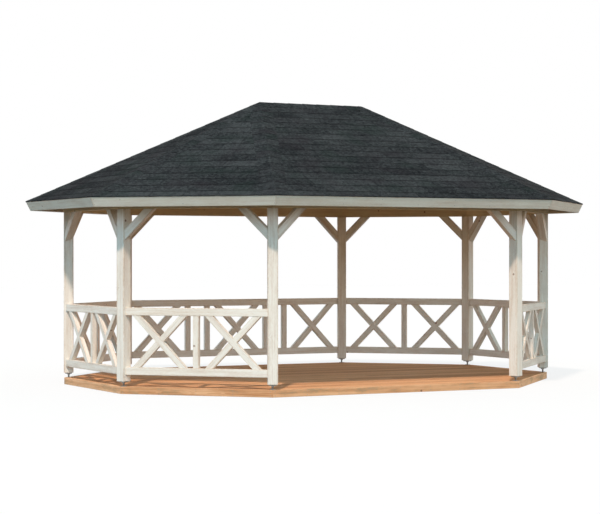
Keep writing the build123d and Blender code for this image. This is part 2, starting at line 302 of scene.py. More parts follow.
# %% The shader of a material or of the world
class Shader:
    """A node tree in the making."""

    def __init__(self, owner):
        owner.use_nodes = True
        self.owner, self.tree = owner, owner.node_tree
        self.tree.nodes.clear()

    def node(self, kind, choices, values, out=0):
        """Any node: its type, its own choices, and the number, colour or Amount of a socket."""
        made_node = self.tree.nodes.new(kind)
        for choice, value in choices.items():
            if choice == "stops":
                stops = made_node.color_ramp.elements
                for i, (position, colour) in enumerate(value):
                    stop = stops[i] if i < 2 else stops.new(position)
                    stop.position, stop.color = position, (*colour, 1.0)
            else:
                setattr(made_node, choice, value)
        for name, value in values.items():
            if isinstance(value, Amount):
                self.tree.links.new(value.socket, made_node.inputs[name])
            else:
                made_node.inputs[name].default_value = value
        return Amount(self, made_node.outputs[out]) if made_node.outputs else None

    def read(self, name, out="Fac"):
        """One of the piece's own attributes."""
        return self.node("ShaderNodeAttribute", {"attribute_name": name}, {}, out)

    def math(self, operation, first, second):
        """One sum of two numbers that may vary over the surface."""
        return self.node("ShaderNodeMath", {"operation": operation}, {0: first, 1: second})

    def vector(self, operation, *inputs, out=0):
        """The same for directions and places."""
        return self.node("ShaderNodeVectorMath", {"operation": operation},
                         dict(enumerate(inputs)), out)

    def noise(self, where, scale, detail=2.0, roughness=0.5, out=0):
        """Clouds about 0.5, with so many waves to the unit of where."""
        return self.node("ShaderNodeTexNoise", {}, {"Vector": where, "Scale": scale,
                                                    "Detail": detail, "Roughness": roughness}, out)

    def cells(self, where, scale, out="Color"):
        """Voronoi cells: a number drawn for each, or the Position of or Distance to its point."""
        cell = self.node("ShaderNodeTexVoronoi", {"voronoi_dimensions": "3D", "feature": "F1"},
                         {"Vector": where, "Scale": scale}, out)
        return self.node("ShaderNodeSeparateColor", {}, {"Color": cell}) if out == "Color" else cell

    def band(self, value, low, high, start=0.0, end=1.0):
        """Smooth step of a number from low to high, giving start to end."""
        return self.node("ShaderNodeMapRange", {"interpolation_type": "SMOOTHSTEP"},
                         {0: value, 1: low, 2: high, 3: start, 4: end})

    def blend(self, factor, first, second):
        """Mixes two colours."""
        return self.node("ShaderNodeMix", {"data_type": "RGBA"}, {0: factor, 6: first, 7: second},
                         2)

    def either(self, factor, first, second):
        """Mixes two surfaces."""
        return self.node("ShaderNodeMixShader", {}, {0: factor, 1: first, 2: second})

    def relief(self, height, strength, distance):
        """Tilts the light's reflection as a surface of that height would."""
        return self.node("ShaderNodeBump", {},
                         {"Height": height, "Strength": strength, "Distance": distance})

    def done(self, **surface):
        """Closes a material with one Principled surface, and gives it back."""
        values = {name.replace("_", " "): value for name, value in surface.items()}
        return self.close("Material", self.node("ShaderNodeBsdfPrincipled", {}, values))

    def close(self, kind, surface):
        """Puts the output on, and gives back the material or the world."""
        self.node("ShaderNodeOutput" + kind, {}, {"Surface": surface})
        return self.owner


# %% [markdown]
# ## Sawn softwood
# Three things make spruce read as spruce: growth rings, a pale band and a narrow darker one,
# knots, round which the rings part, and fine fibres along the length.  Rings are cylinders about
# the log's pith, so their pattern is a wave of the distance from it.  They wobble slowly along
# the timber, because the coordinates are squeezed along it before the wave reads them.
#
# Knots come from a Voronoi pattern whose cells are long along the timber.  The vector to a cell's
# own point, stretched back to metres, gives a round knot instead of a long smear.
#
# From a few steps away the rings melt together into streaks two fingers wide, and patches where
# the wood is resinous or has dried paler.  They are two more noises.
#
# Limewash is a thin white coat.  It covers pale wood well, sinks into the darker rings, leaves
# knots showing, goes on unevenly, and is rubbed thin along the arrises.

# %% Where the knots are
KNOT_CELL, KNOT_RADIUS = (0.34, 0.075, 0.075), 0.015


def knot_masks(finish, grain, share):
    """Masks: 1 inside a knot, 1 in its heart, and 1 falling to 0 where the rings part round it.

    Share is the part of the cells that have a knot, with a radius of up to KNOT_RADIUS.
    """
    place = finish.vector("DIVIDE", grain, KNOT_CELL)
    to_point = finish.vector("SUBTRACT", finish.cells(place, 1.0, "Position"), place)
    away = finish.vector("LENGTH", finish.vector("MULTIPLY", to_point, KNOT_CELL), out="Value")
    radius = finish.band(finish.cells(place, 1.0), 1.0 - share, 1.0, 0.0, KNOT_RADIUS)
    beyond = away - radius
    inside = finish.band(beyond, -0.004, 0.001, 1.0, 0.0) * finish.band(radius, 0, 0.003)
    core = finish.band(beyond, -0.009, -0.003, 1.0, 0.0)
    parting = finish.band(beyond, 0.0, 0.045, 1.0, 0.0) * finish.band(radius, 0, 0.008)
    return inside, core, parting


# %% The wood finish
ROUGH, AGED = 0.65, 0.5


def wood_finish(name, slot, pale, dark, knot, coat=None, cover=0.0, thin=0.5, weather=None,
                ring=0.006, knots=0.5, streaks=0.8, patches=0.6, between=0.3, gloss=0.25):
    """Wood with rings, knots, streaks and fibres, under a coat if it has one.

    darkness = rings + streaks + patches + fibres + the timber's own tone.  The coat hides the
    wood by cover, less where it is dark, knotty or rubbed, and unevenly by thin.
    """
    finish = Shader(bpy.data.materials.new(name))
    grain = finish.read("grain", "Vector")
    tone, wear = finish.read("tone"), finish.read("wear")
    inside, core, parting = knot_masks(finish, grain, knots)

    def waves(lengthwise, across, detail=3.0, roughness=0.6):
        """Noise about 0, with so many waves to the metre along the timber and across it."""
        stretched = finish.vector("MULTIPLY", grain, (lengthwise, across, across))
        return finish.noise(stretched, 1.0, detail, roughness) - 0.5

    squeezed = finish.vector("MULTIPLY", grain, (0.07, 1.0, 1.0))
    wobble = finish.noise(squeezed, 9.0, 1.0)
    ring_at = finish.node("ShaderNodeTexWave",
                          {"wave_type": "RINGS", "rings_direction": "X", "wave_profile": "SAW"},
                          {"Vector": squeezed, "Scale": 2 * np.pi / (20 * ring),
                           "Distortion": 9.0, "Detail": 2.0, "Detail Scale": 0.35,
                           "Phase Offset": wobble * 6 + parting * 5}, "Fac")
    late = finish.band(ring_at, 0.35, 0.95)
    streak, patch = waves(1.1, 34), waves(2.6, 11)
    fibre, coarse = waves(14, 900, 2.0, 0.5), waves(24, 120, 3.0, 0.7)

    darkness = 0.34 + late * 0.30 + streak * streaks + patch * patches + fibre * 0.25
    darkness = darkness + (tone - 0.5) * (2 * between)
    colour = finish.blend(darkness, linear(*pale), linear(*dark))
    if weather:
        grey = finish.band(patch + coarse * 0.6 + streak * 0.4, 0.02, 0.24) * AGED
        colour = finish.blend(grey, colour, linear(*weather))
    knot = linear(*knot)
    heart = (*(0.55 * v for v in knot[:3]), 1.0)
    colour = finish.blend(inside * 0.85, colour, finish.blend(core * 0.7, knot, heart))
    if coat:
        hidden = cover - late * 0.10 - inside * 0.62 - wear * (0.20 + coarse * 0.8)
        hidden = hidden - streak * thin - patch * (thin * 0.8) - coarse * (thin * 0.7)
        colour = finish.blend(hidden, colour, linear(*coat))
    rough = ROUGH + fibre * 0.12 + late * 0.06 - inside * 0.12
    height = late * 0.5 + fibre * 0.35 + streak * 0.3 + inside * 0.4
    return finish.done(Base_Color=colour, Roughness=rough, Specular_IOR_Level=gloss,
                       Normal=finish.relief(height, strength=0.35, distance=0.0012)), slot


# %% The woods of the gazebo
LIMEWASH = wood_finish("limewashed_spruce", "limewashed_timber", (214, 184, 148), (164, 124, 88),
                       (124, 88, 64), coat=(240, 236, 226), cover=0.90, thin=0.85, knots=0.55)
FASCIA = wood_finish("limewashed_fascia", "limewashed_timber", (206, 178, 144), (160, 122, 88),
                     (120, 86, 64), coat=(229, 227, 214), cover=0.88, thin=0.65, knots=0.4)
BARE = wood_finish("bare_spruce", "bare_timber", (238, 223, 186), (198, 175, 137), (124, 89, 64),
                   ring=0.007, gloss=0.15)
DECKING = wood_finish("oiled_floor_boards", "deck_board_wood", (228, 177, 132), (179, 124, 84),
                      (121, 78, 51), knots=0.35, ring=0.007, between=0.35, gloss=0.035)
RIM = wood_finish("oiled_rim_boards", "deck_rim_wood", (243, 196, 152), (192, 136, 92),
                  (112, 74, 50), weather=(150, 146, 118), knots=0.6, streaks=1.6, patches=1.3,
                  gloss=0.15)

# %% [markdown]
# ## Posts
# Eight square posts, each turned so that one face looks straight out of its corner.  They stop
# under the beams and stand clear of the deck on steel feet, so that their end grain stays dry.

# %% Make the posts
def level_cuts(low, high):
    """The level planes at the foot and at the head of an upright timber."""
    return Cut(low * UP, -UP), Cut(high * UP, UP)


corner_out = np.array([compass(TURN * k - HALF_TURN) for k in range(8)])
for k, corner in enumerate(CORNERS):
    post = timber(post_at[k], UP, corner_out[k], board(post_width, post_width),
                  level_cuts(post_bottom, post_top))
    piece("post_timber_" + corner, [post], LIMEWASH, "post_" + corner)

# %% [markdown]
# ## Post feet
# A post stands on a threaded rod, so that its height can be set with a spanner when the ground
# has moved.  From below: a round washer on the deck, the rod, a nut, and a square plate that is
# screwed into the post.  Washers, nuts and screw heads are all a short profile turned about an
# axis, and a nut is only a turned profile with six sides.  The thread's radius is a zigzag of the
# height less the way round, which makes one continuous helix.

# %% Turned parts and threads
PITH_NEAR = 0.05                 # how far the pith may pass from the middle of a turned part
STEEP = 0.9                      # an axis that rises more than this is crossed with X, not UP
THREAD_RISE, THREAD_DEPTH, THREAD_SIDES, THREAD_STEPS = 0.003, 0.0013, 18, 6


def plain_part(points, faces, grain, tone=0.5):
    """A part of one tone, without wear."""
    return Part(points, faces, grain, np.zeros(len(points)), np.full(len(points), tone))


def turned(centre, axis, profile, sides, first=0.0, tone=0.5):
    """A profile of (radius, height) turned about an axis, closed at both ends.

    A point is centre + radius (cos a across + sin a up) + height x axis, with a from first on.
    """
    axis = unit(axis)
    across = unit(np.cross(UP if abs(axis[2]) < STEEP else X, axis))
    up = np.cross(axis, across)
    angle = first + 2 * np.pi * np.arange(sides) / sides
    ring = np.cos(angle)[:, None] * across + np.sin(angle)[:, None] * up
    radius, height = np.array(profile).T[:, :, None, None]
    local = (radius * ring + height * axis).reshape(-1, 3)
    pith = chance.uniform(-PITH_NEAR, PITH_NEAR, 2)
    grain = np.column_stack([local @ axis, local @ across + pith[0], local @ up + pith[1]])
    return plain_part(centre + local, rings_to_faces(len(profile), sides), grain, tone)


def thread(foot, length, radius):
    """Upright threaded rod: radius - depth x |2 p - 1|, p = fraction(height / rise - way round)."""
    steps = int(length / THREAD_RISE * THREAD_STEPS)
    way_round = np.arange(THREAD_SIDES) / THREAD_SIDES
    height = np.linspace(0, length, steps + 1)[:, None]
    r = radius - THREAD_DEPTH * np.abs(2 * ((height / THREAD_RISE - way_round) % 1) - 1)
    angle = 2 * np.pi * way_round
    points = np.stack([r * np.cos(angle), r * np.sin(angle), height + 0 * r], -1) + foot
    points = points.reshape(-1, 3)
    return plain_part(points, rings_to_faces(steps + 1, THREAD_SIDES), points * 0)


SCREW = [(0.0044, -0.0020), (0.0046, 0.0), (0.0042, 0.0004), (0.0020, 0.0004), (0.0015, -0.0012)]


def screw(at, facing):
    """Countersunk screw head with a round drive recess; at is a point of the wood's face."""
    return turned(np.array(at), facing, SCREW, 10)


# %% [markdown]
# Zinc-plated steel is grey and a little blotched, because its crystals catch the light
# differently, and it is duller than polished metal.

# %% The steel finish
def steel_finish():
    """Grey from dark to pale by crystals / 2 + 0.4 x stain, duller where either is high."""
    finish = Shader(bpy.data.materials.new("zinc_plated_steel"))
    place = finish.node("ShaderNodeTexCoord", {}, {}, "Object")
    spangle, stain = finish.cells(place, 220.0), finish.noise(place, 60.0, 3.0, 0.6)
    colour = finish.blend(spangle * 0.5 + stain * 0.4, linear(134, 133, 129),
                          linear(190, 189, 184))
    return finish.done(Base_Color=colour, Metallic=0.9,
                       Roughness=0.38 + (spangle - 0.5) * 0.15 + (stain - 0.5) * 0.2,
                       Normal=finish.relief(spangle * 0.5 + stain, strength=0.15,
                                            distance=0.0004))


STEEL = steel_finish(), "zinc_steel"

# %% Make the feet
deck_low, deck_high = box("deck_boards")
deck_top = deck_high[2]
plate_width, plate_thickness, plate_screw_at = 0.080, 0.006, 0.029
nut_width, nut_height, nut_bevel, nut_chamfer = 0.036, 0.018, 0.0022, 0.001
washer_radius, washer_thickness, washer_arris, plate_arris = 0.035, 0.005, 0.0006, 0.0008
rod_radius = 0.011
plate_top = post_bottom - deck_top
plate_bottom = plate_top - plate_thickness
nut_corner = nut_width / 2 / np.cos(np.pi / 6)
NUT = [(nut_width / 2 - nut_chamfer, 0.0), (nut_corner, nut_bevel),
       (nut_corner, nut_height - nut_bevel), (nut_width / 2 - nut_chamfer, nut_height)]
WASHER = [(washer_radius - washer_arris, 0.0), (washer_radius, washer_arris),
          (washer_radius, washer_thickness - washer_arris),
          (washer_radius - washer_arris, washer_thickness)]
feet = []
for k in range(8):
    foot = post_at[k] + UP * deck_top
    under = foot + UP * plate_bottom
    feet += [turned(foot, UP, WASHER, 40), thread(foot, plate_bottom, rod_radius),
             turned(under - UP * nut_height, UP, NUT, 6, first=TURN * k),
             timber(foot, UP, corner_out[k], board(plate_width, plate_width),
                    level_cuts(deck_top + plate_bottom, post_bottom), plate_arris)]
    corner_side = np.cross(UP, corner_out[k])
    feet += [screw(under + (a * corner_out[k] + b * corner_side) * plate_screw_at, -UP)
             for a in (-1, 1) for b in (-1, 1)]
piece("adjustable_post_feet", feet, STEEL, "post_feet")

# %% [markdown]
# ## Railings
# A railing is a frame: a lower and an upper rail between two posts, upright studs between the
# rails, and a cross in every bay.  The front stays open.  The rails are sawn to the faces of the
# posts.  The diagonals of a cross are halved over each other: the falling one stands a hair proud
# outside and the rising one inside, so the joint shows as a fine line on both faces.

# %% The railings' levels and sizes
rail_low, rail_high = box("railing_back")
rail_height, stud_width, cross_width = 0.088, 0.070, 0.070
cross_end_gap, lattice_thickness, lap_step, lattice_arris = 0.072, 0.054, 0.0015, 0.003
rail_inner, rail_outer = rail_low[1] - apothem, rail_high[1] - apothem
rail_middle, rail_thickness = (rail_inner + rail_outer) / 2, rail_outer - rail_inner
stud_bottom, stud_top = rail_low[2] + rail_height, rail_high[2] - rail_height
to_post = post_width / 2 / np.cos(HALF_TURN)
print(f"rails reach {rail_inner:.3f} to {rail_outer:.3f}, studs from {stud_bottom:.3f}")


def bays(side):
    """Distances of the studs and of the crosses along a side, and half a cross's width."""
    half_bay = (half_length(RIGHT, rail_middle) - to_post - stud_width / 2) / 2
    half_cross = half_bay - cross_end_gap
    if side not in LONG_SIDES:
        shift = stud_width / 2 + half_bay
        return [0.0], [-shift, shift], half_cross
    end_cross = half_length(side, rail_middle) - to_post - half_bay
    inner, outer = half_bay + stud_width / 2, end_cross - half_bay - stud_width / 2
    return [-outer, -inner, inner, outer], [-end_cross, 0.0, end_cross], half_cross


# %% Make the railings
def member(side, reach, level, width, height, setback, arris=ARRIS):
    """Level timber along a side, from corner to corner less a setback at each."""
    return timber(spot(side, 0, reach, level), sideways[side], UP, board(width, height),
                  corner_cuts(side, setback), arris)


def stud(side, along):
    """Upright bar between the rails, its middle at a distance along the side."""
    return timber(spot(side, along, rail_middle, 0), UP, outward[side],
                  board(stud_width, lattice_thickness), level_cuts(stud_bottom, stud_top),
                  lattice_arris)


def diagonal(side, centre, half, hand):
    """Cross bar that rises towards hand, its ends level on the rails.

    With run, rise and width of the bar, the level cut c at its ends follows from
    c = width (rise root - width run) / (rise^2 - width^2), root = sqrt(rise^2 + run^2 - width^2).
    """
    run, rise, width = 2 * half, stud_top - stud_bottom, cross_width
    root = np.sqrt(rise ** 2 + run ** 2 - width ** 2)
    cut = width * (rise * root - width * run) / (rise ** 2 - width ** 2)
    middle = spot(side, centre, rail_middle - hand * lap_step / 2, (stud_bottom + stud_top) / 2)
    return timber(middle, hand * (run - cut) * sideways[side] + rise * UP, outward[side],
                  board(width, lattice_thickness - lap_step), level_cuts(stud_bottom, stud_top),
                  lattice_arris)


for side, label in enumerate(SIDES):
    if side != FRONT:
        studs, crosses, half = bays(side)
        parts = [member(side, rail_middle, level, rail_thickness, rail_height, post_width / 2)
                 for level in (rail_low[2] + rail_height / 2, rail_high[2] - rail_height / 2)]
        parts += [stud(side, along) for along in studs]
        parts += [diagonal(side, along, half, hand) for along in crosses for hand in (-1, 1)]
        piece("railing_timbers_" + label, parts, LIMEWASH, "railing_" + label)

# %% [markdown]
# ## Beams and knee braces
# Eight beams lie on the posts, are mitred over them and are left bare.  A knee brace in each
# corner of each side keeps the frame square: it rises at 45 degrees from the post's face to the
# underside of the beam, and both its ends are sawn to what it meets.

# %% Make the beams and the braces
beam_low, beam_high = box("beam_back")
beam_middle, beam_level = ((beam_low + beam_high) / 2)[1:] - (apothem, 0)
beam_thickness, beam_height = (beam_high - beam_low)[1:]
joint = 0.0004
for side, label in enumerate(SIDES):
    beam = member(side, beam_middle, beam_level, beam_thickness, beam_height, joint)
    piece("beam_timber_" + label, [beam], BARE, "beam_" + label)

brace_width, brace_drop = 0.088, 0.344
brace_foot = post_top - (brace_drop - brace_width / 2 * np.sqrt(2))
braces = []
for side in range(8):
    for hand in (-1, 1):
        foot = spot(side, hand * (half_length(side, beam_middle) - to_post), beam_middle,
                    brace_foot)
        cuts = corner_cut(side, hand, post_width / 2), Cut(post_top * UP, UP)
        braces.append(timber(foot, UP - hand * sideways[side], outward[side],
                             board(brace_width, brace_width), cuts))
piece("knee_brace_timbers", braces, LIMEWASH, "knee_braces")

# %% [markdown]
# ## The slopes of the roof
# All eight slopes have one pitch, so a place on any of them is again three numbers: along the
# eave, up the slope, and square to it.  Up and height are zero on the fascia's upper outer edge,
# which the frame gives.

# %% Places on a slope
roof_pitch = np.radians(25)
fascia_thickness, fascia_height = 0.022, 0.120
fascia_high = box("fascia_boards")[1]
eave_reach = fascia_high[1] - apothem
eave_level = fascia_high[2] - fascia_thickness * np.sin(roof_pitch)
slope_length = (apothem + eave_reach) / np.cos(roof_pitch)
up_slope = -outward * np.cos(roof_pitch) + UP * np.sin(roof_pitch)
off_slope = outward * np.sin(roof_pitch) + UP * np.cos(roof_pitch)
print(f"eave reach {eave_reach:.3f} at {eave_level:.3f}, slope {slope_length:.3f} long")


def on_slope(side, along, up, height):
    """Point = eave's middle + along x sideways + up x up the slope + height x off the slope."""
    along, up, height = (np.asarray(v, float)[..., None] for v in (along, up, height))
    eave = spot(side, 0, eave_reach, eave_level)
    return eave + along * sideways[side] + up * up_slope[side] + height * off_slope[side]


def slope_half(side, up):
    """Half the width of a slope at a distance up it, measured to the hips."""
    return half_length(side, eave_reach - up * np.cos(roof_pitch))


# %% [markdown]
# ## Roof timbers
# Common rafters run from the ridge beam to the fascia, and jack rafters die against the hips.
# The hips run from the corners to a hub block at each end of the ridge.  A hip's back is bevelled
# both ways, so that the boards of two slopes lie flat on it: its crown is higher than its
# shoulders by half its width x sin(half a turn) x the slope.

# %% Common rafters, jack rafters and the ridge
board_thickness, rafter_width, rafter_depth = 0.018, 0.060, 0.098
hip_width, hip_extra, hip_end_gap, hub_width = 0.070, 0.014, 0.052, 0.180
ridge_face, cheek = 0.030, 0.0003
hub_corner = hub_width / 2 / np.cos(HALF_TURN)
spacing = 2 * ridge_half / 3


def side_cut(side, reach, facing=1):
    """Upright plane along a side at a reach; facing is 1 outwards and -1 inwards."""
    return Cut(spot(side, 0, reach, 0), facing * outward[side])


def rafter(side, along, head):
    """Rafter down a slope, from the cut called head to the back of the fascia."""
    tail = Cut(on_slope(side, 0, fascia_thickness, 0), -up_slope[side])
    axis = on_slope(side, along, slope_length / 2, -board_thickness - rafter_depth / 2)
    return timber(axis, -up_slope[side], off_slope[side], board(rafter_width, rafter_depth),
                  (head, tail))


commons = [rafter(side, i * spacing, side_cut(side, ridge_face - apothem, -1))
           for side in LONG_SIDES for i in (-1, 0, 1)]
jacks = [rafter(side, hand * (ridge_half + spacing / 2),
                corner_cut(side, hand, hip_width / 2 + cheek))
         for side in LONG_SIDES for hand in (-1, 1)]
jacks += [rafter(side, 0, side_cut(side, hub_corner + cheek - apothem, -1))
          for side in range(8) if side not in LONG_SIDES]
piece("common_rafter_timbers", commons, BARE, "common_rafters")
piece("jack_rafter_timbers", jacks, BARE, "jack_rafters")

ridge_low, ridge_high = box("ridge_beam")
ridge_cuts = [Cut(X * hand * (ridge_half - hub_width / 2), X * hand) for hand in (-1, 1)]
ridge = timber((ridge_low + ridge_high) / 2, X, UP, board(*(ridge_high - ridge_low)[1:]),
               ridge_cuts)
piece("ridge_beam_timber", [ridge], BARE, "ridge_beam")

# %% Hip rafters
eave_run = (apothem + eave_reach) / np.cos(HALF_TURN)
peak_level = eave_level + (apothem + eave_reach) * np.tan(roof_pitch)
crown_level = peak_level - board_thickness / np.cos(roof_pitch)
hip_fall = np.tan(roof_pitch) * np.cos(HALF_TURN)
hip_depth = (rafter_depth / np.cos(roof_pitch) + hip_extra) * np.cos(np.arctan(hip_fall))
shoulder_drop = hip_width / 2 * np.sin(HALF_TURN) * np.tan(roof_pitch)
hip_section = np.array([(-hip_width / 2, -hip_depth), (hip_width / 2, -hip_depth),
                        (hip_width / 2, -shoulder_drop), (0, 0), (-hip_width / 2, -shoulder_drop)])
hub_at = np.sign(corner_out[:, :1]) * ridge_half * X


def hip(k):
    """Hip rafter of corner k, from the hub's face to just behind the fascia's mitre."""
    down = corner_out[k] - hip_fall * UP
    crown = hub_at[k] + UP * crown_level
    head = Cut(hub_at[k] + corner_out[k] * hub_width / 2, -corner_out[k])
    tail = Cut(crown + down * (eave_run - hip_end_gap), unit(down))
    return timber(crown, down, corner_out[k] * hip_fall + UP, hip_section, (head, tail))


for hand, label in ((-1, "left"), (1, "right")):
    hips = [hip(k) for k in range(8) if corner_out[k][0] * hand > 0]
    piece("hip_rafter_timbers_" + label, hips, BARE, "hip_rafters_" + label)

# %% [markdown]
# The hips of one end meet on a hub: an eight-sided block on end, bevelled round its lower rim.

# %% Hub blocks
hub_low, hub_high = box("ridge_hubs")
hub_bevel = hub_width / 8
HUB = [(hub_corner - hub_bevel / np.cos(HALF_TURN), hub_low[2]),
       (hub_corner, hub_low[2] + hub_bevel), (hub_corner, hub_high[2] - ARRIS),
       (hub_corner - ARRIS / np.cos(HALF_TURN), hub_high[2])]
hubs = [turned(X * hand * ridge_half, UP, HUB, 8, tone=0.3) for hand in (-1, 1)]
piece("ridge_hub_blocks", hubs, BARE, "ridge_hubs")

# %% [markdown]
# ## The boarded roof and its fascia
# Seen from inside, the roof is a ceiling of narrow boards that run round the gazebo, each with
# eased edges, so that the joints show as fine grooves.  They end on the hips.  The fascia closes
# the boards' and rafters' ends and leans with the slope.

# %% Make the roof boards and the fascia
board_count, least_half = 30, 0.02
board_play, thickness_play, board_arris, fascia_arris = 0.0006, 0.0002, 0.0035, 0.0025
board_cover = (slope_length - fascia_thickness) / board_count


def slope_board(side, up, height, width, depth, arris):
    """Board along a slope, mitred on both hips."""
    return timber(on_slope(side, 0, up, height), sideways[side], off_slope[side],
                  board(width, depth), corner_cuts(side, joint), arris)


ceiling = [slope_board(side, low + board_cover / 2, -board_thickness / 2,
                       board_cover - board_play, board_thickness - thickness_play, board_arris)
           for side in range(8)
           for low in fascia_thickness + np.arange(board_count) * board_cover
           if slope_half(side, low + board_cover) > least_half]
piece("ceiling_boards", ceiling, BARE, "roof_boards")

fascias = [slope_board(side, fascia_thickness / 2, -fascia_height / 2, fascia_thickness,
                       fascia_height, fascia_arris) for side in range(8)]
piece("fascia_timbers", fascias, FASCIA, "fascia_boards")

# %% [markdown]
# ## The deck
# The floor is boards laid along the gazebo with a narrow gap for rain.  The gap lines are set
# out so that one of them meets each corner between an end and a diagonal, which keeps the end of
# every board a single saw cut.  A row is longer than the boards that a merchant sells, so it is
# made of two lengths, joined over a joist, on alternate joists from row to row.

# %% Rim and floor boards
rim_high = box("deck_rim")[1]
rim_thickness, deck_arris, slack = 0.028, 0.003, 0.001
rows_at_an_end, board_gap, least_board = 14, 0.005, 0.03
joist_count, joist_inset, BUTT_JOISTS = 11, 0.160, (4, 6, 5, 7, 3)
deck_reach = rim_high[1] - apothem
inside = deck_reach - rim_thickness
rims = [member(side, deck_reach - rim_thickness / 2, rim_high[2] / 2, rim_thickness, rim_high[2],
               joint, deck_arris) for side in range(8)]
piece("deck_rim_timbers", rims, RIM, "deck_rim")

end_half, front_half = half_length(RIGHT, inside), apothem + inside
deck_middle = (deck_low[2] + deck_top) / 2
pitch = 2 * end_half / rows_at_an_end
joist_end = ridge_half + front_half - joist_inset
joist_x = np.linspace(-joist_end, joist_end, joist_count)
floor_boards, floor_rows = [], []
rows = int(np.ceil(front_half / pitch))
for row in range(-rows, rows):
    low, high = max(row * pitch, -front_half), min((row + 1) * pitch, front_half)
    y, width = (low + high) / 2, high - low - board_gap
    if width > least_board:
        ends = LEFT, RIGHT
        if abs(y) >= end_half:
            ends = (BACK_LEFT, BACK_RIGHT) if y > 0 else (FRONT_LEFT, FRONT_RIGHT)
        left, right = (side_cut(side, inside - slack) for side in ends)
        butt = joist_x[BUTT_JOISTS[row % len(BUTT_JOISTS)]]
        axis, section = np.array([0, y, deck_middle]), board(width, deck_top - deck_low[2])
        floor_boards += [timber(axis, X, UP, section, cuts, deck_arris)
                         for cuts in ((left, Cut(X * (butt - slack), X)),
                                      (Cut(X * (butt + slack), -X), right))]
        floor_rows.append((y, width, butt))
piece("floor_boards", floor_boards, DECKING, "deck_boards")
print(len(floor_rows), "rows of floor boards")

# %% [markdown]
# Under the boards lie the joists, across the gazebo, and every board is held to every joist by
# two screws.  Where a board ends over a joist, each of the two ends has its own pair.

# %% Joists and screws
joist_width, joist_height, joist_arris = 0.060, deck_low[2], 0.002
edge_distance, butt_distance, least_reach = 0.022, 0.014, 0.03
joists = []
for x in joist_x:
    ends = FRONT, BACK
    if abs(x) >= half_length(FRONT, inside):
        ends = (FRONT_RIGHT, BACK_RIGHT) if x > 0 else (FRONT_LEFT, BACK_LEFT)
    joists.append(timber(X * x + UP * joist_height / 2, Y, UP, board(joist_width, joist_height),
                         [side_cut(side, inside - slack) for side in ends], joist_arris))
piece("floor_joists", joists, BARE, "deck_joists")

deck_screws = []
for y, width, butt in floor_rows:
    row_end = ridge_half + min(front_half, front_half + end_half - abs(y))
    for x in joist_x[abs(joist_x) < row_end - least_reach]:
        places = [x - butt_distance, x + butt_distance] if x == butt else [x]
        deck_screws += [screw((place, y + across * (width / 2 - edge_distance), deck_top), UP)
                        for across in (-1, 1) for place in places]
piece("floor_screws", deck_screws, STEEL)

# %% [markdown]
# The fascia is screwed to the tails of the rafters and to its neighbour at each mitre, and the
# rim to the ends of the joists: two screws, one over the other, at each place.

# %% Screws of the fascia and the rim
FASCIA_SCREWS, RIM_SCREWS, from_mitre = (-0.030, -0.090), (0.24, 0.76), 0.030
fascia_screws, rim_screws = [], []
for side in range(8):
    tails, rim_places = [0.0], 5
    if side in LONG_SIDES:
        jack, rim_places = ridge_half + spacing / 2, 9
        tails = [-spacing, 0.0, spacing, jack, -jack]
    mitre = half_length(side, eave_reach) - from_mitre
    fascia_screws += [screw(on_slope(side, along, 0, height), -up_slope[side])
                      for along in tails + [-mitre, mitre] for height in FASCIA_SCREWS]
    mitre = half_length(side, deck_reach) - from_mitre
    rim_screws += [screw(spot(side, along, deck_reach, level * rim_high[2]), outward[side])
                   for along in np.linspace(-mitre, mitre, rim_places) for level in RIM_SCREWS]
piece("fascia_screws", fascia_screws, STEEL)
piece("rim_screws", rim_screws, STEEL)

# %% [markdown]
# ## Shingles
# Bitumen shingles come as strips with three tabs, and each course covers the top of the one
# below.  What the eye sees is a wall of overlapping tabs, each a little lighter or darker than
# its neighbours, with a shadow under its lower edge.  A tab is a thin slab whose upper edge lies
# flat on the roof and whose lower edge lies on the course below.  Its corners are held inside the
# hips by clamping its distance along the eave to half the slope's width there; what that leaves
# open is under the caps.

# %% Slabs on a slope
PATTERN_APART = 17.0             # metres from the pattern of one slope to the next one's
SLAB = np.array([(3, 2, 1, 0), (4, 5, 6, 7), (0, 1, 5, 4), (1, 2, 6, 5), (2, 3, 7, 6), (3, 0, 4, 7)])


def slabs(side, corners, tone):
    """Six-faced slabs on a slope, as one part.

    corners is an array of corner x coordinate x slab: (along, up, height) for the four corners
    beneath and the four above.
    """
    count = corners.shape[2]
    flat = corners.transpose(2, 0, 1).reshape(-1, 3)
    faces = (np.arange(count)[:, None, None] * 8 + SLAB).reshape(-1, 4)
    # 1 on a slab's lower edge, where the shingle finish paints shade
    wear = np.tile([1.0, 1, 0, 0, 1, 1, 0, 0], count)
    return Part(on_slope(side, *flat.T), [faces], flat + PATTERN_APART * side * X, wear,
                np.repeat(tone, 8))


# %% The tabs of a slope
exposure, first_exposure, lap, shingle_overhang = 0.177, 0.132, 0.060, 0.004
tab_width, tab_gap, tabs_to_a_strip, least_tab = 0.400, 0.006, 3, 0.002
sheet_thickness, tab_lift, hip_clearance, least_height = 0.0035, 0.0058, 0.0005, 0.02
shift_play, course_play, curl_play, strip_share = 0.012, 0.0015, 0.0006, 0.65
tab_seat, peak_gap = 0.0001, 0.001
# Painted light and shade: each slope's tabs are made a little lighter or darker, for how the sun
# falls on it
PAINTED_SLOPE_SHADE = np.array([0.0, -0.1, 0.0, 0.1, -0.25, 0.2, 0.0, 0.0])


